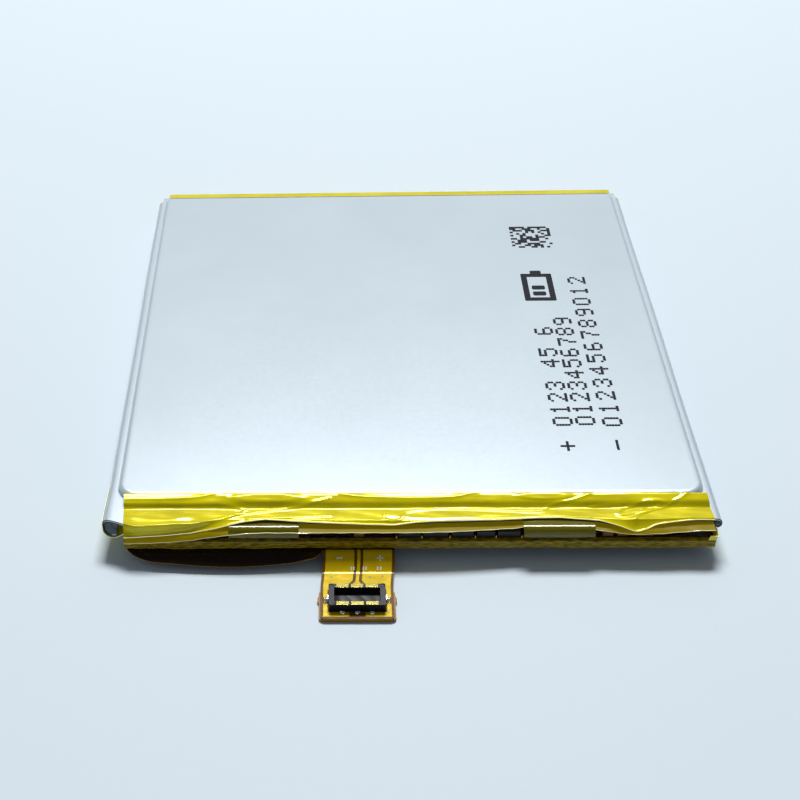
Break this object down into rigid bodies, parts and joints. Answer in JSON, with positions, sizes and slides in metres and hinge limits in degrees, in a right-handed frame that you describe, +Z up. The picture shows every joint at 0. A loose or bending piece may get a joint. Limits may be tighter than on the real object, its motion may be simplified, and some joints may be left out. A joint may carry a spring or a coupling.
{
  "type": "pouch battery cell",
  "caption": "Flat rectangular lithium pouch cell with folded side seals, a taped protection board on its header and a flexible tail that ends in a small board connector.",
  "frame": {"origin": "middle of the cell's flat underside", "axes": "+Z up out of the cell's large top face, +Y away from the header, with the board and the flexible tail at -Y"},
  "size_m": [0.0591, 0.0721, 0.0045],
  "materials": {
    "laminate": "matte silver film",
    "seal_plastic": "fused clear plastic",
    "separator": "white porous film",
    "cathode": "dark coated foil",
    "anode": "graphite coated foil",
    "polyimide_tape": "glossy yellow film",
    "tab_nickel": "plain rolled strip",
    "tab_aluminium": "plain rolled strip",
    "tab_sealant": "clear plastic film",
    "weld_plate": "plain rolled plate",
    "board": "solder mask on glass epoxy",
    "chip_resin": "moulded resin",
    "resistor_ceramic": "coated ceramic",
    "capacitor_ceramic": "fired ceramic",
    "foam": "closed cell foam",
    "coverlay": "amber film over copper",
    "stiffener": "laminated sheet",
    "copper": "copper under amber film",
    "connector_resin": "moulded",
    "contact_gold": "gold plated",
    "solder": "reflowed solder",
    "solder_plate": "tin plated"
  },
  "bodies": {
    "pack": {"pouch_lower": "laminate", "pouch_upper": "laminate", "seal_band": "seal_plastic", "separator_inner": "separator", "cathode_foil": "cathode", "separator_outer": "separator", "anode_foil": "anode", "winding_tape": "polyimide_tape", "negative_tab": "tab_nickel", "negative_tab_sealant": "tab_sealant", "negative_weld_plate": "weld_plate", "positive_tab": "tab_aluminium", "positive_tab_sealant": "tab_sealant", "positive_weld_plate": "weld_plate", "circuit_board": "board", "gauge_chip": "chip_resin", "protection_chip": "chip_resin", "power_switch_1": "chip_resin", "power_switch_2": "chip_resin", "backup_chip": "chip_resin", "chip_resistors": "resistor_ceramic", "chip_capacitors": "capacitor_ceramic", "thermistor": "capacitor_ceramic", "fuse": "resistor_ceramic", "board_cushion": "foam", "flex_root": "coverlay", "header_tape": "polyimide_tape", "lip_film": "polyimide_tape", "end_tape": "polyimide_tape", "fold_tape": "polyimide_tape", "board_end_tape": "polyimide_tape", "board_edge_tape": "polyimide_tape"},
    "tail_neck": {"flex_neck": "coverlay"},
    "tail_end": {"flex_end": "coverlay", "stiffener": "stiffener", "copper_negative": "copper", "copper_positive": "copper", "copper_sense": "copper", "connector_housing": "connector_resin", "contacts_back": "contact_gold", "contacts_front": "contact_gold", "contact_solder": "solder", "hold_downs": "solder_plate", "hold_down_solder": "solder"}
  },
  "joints": [
    {"name": "neck_bend", "type": "hinge", "parent": "pack", "child": "tail_neck", "pos_m": [-0.0052, -0.0342, 0.00128], "axis": [-1, 0, 0], "range_deg": [0, 90]},
    {"name": "end_bend", "type": "hinge", "parent": "tail_neck", "child": "tail_end", "pos_m": [-0.0052, -0.0366, 0.00037], "axis": [-1, 0, 0], "range_deg": [-90, 20]}
  ]
}
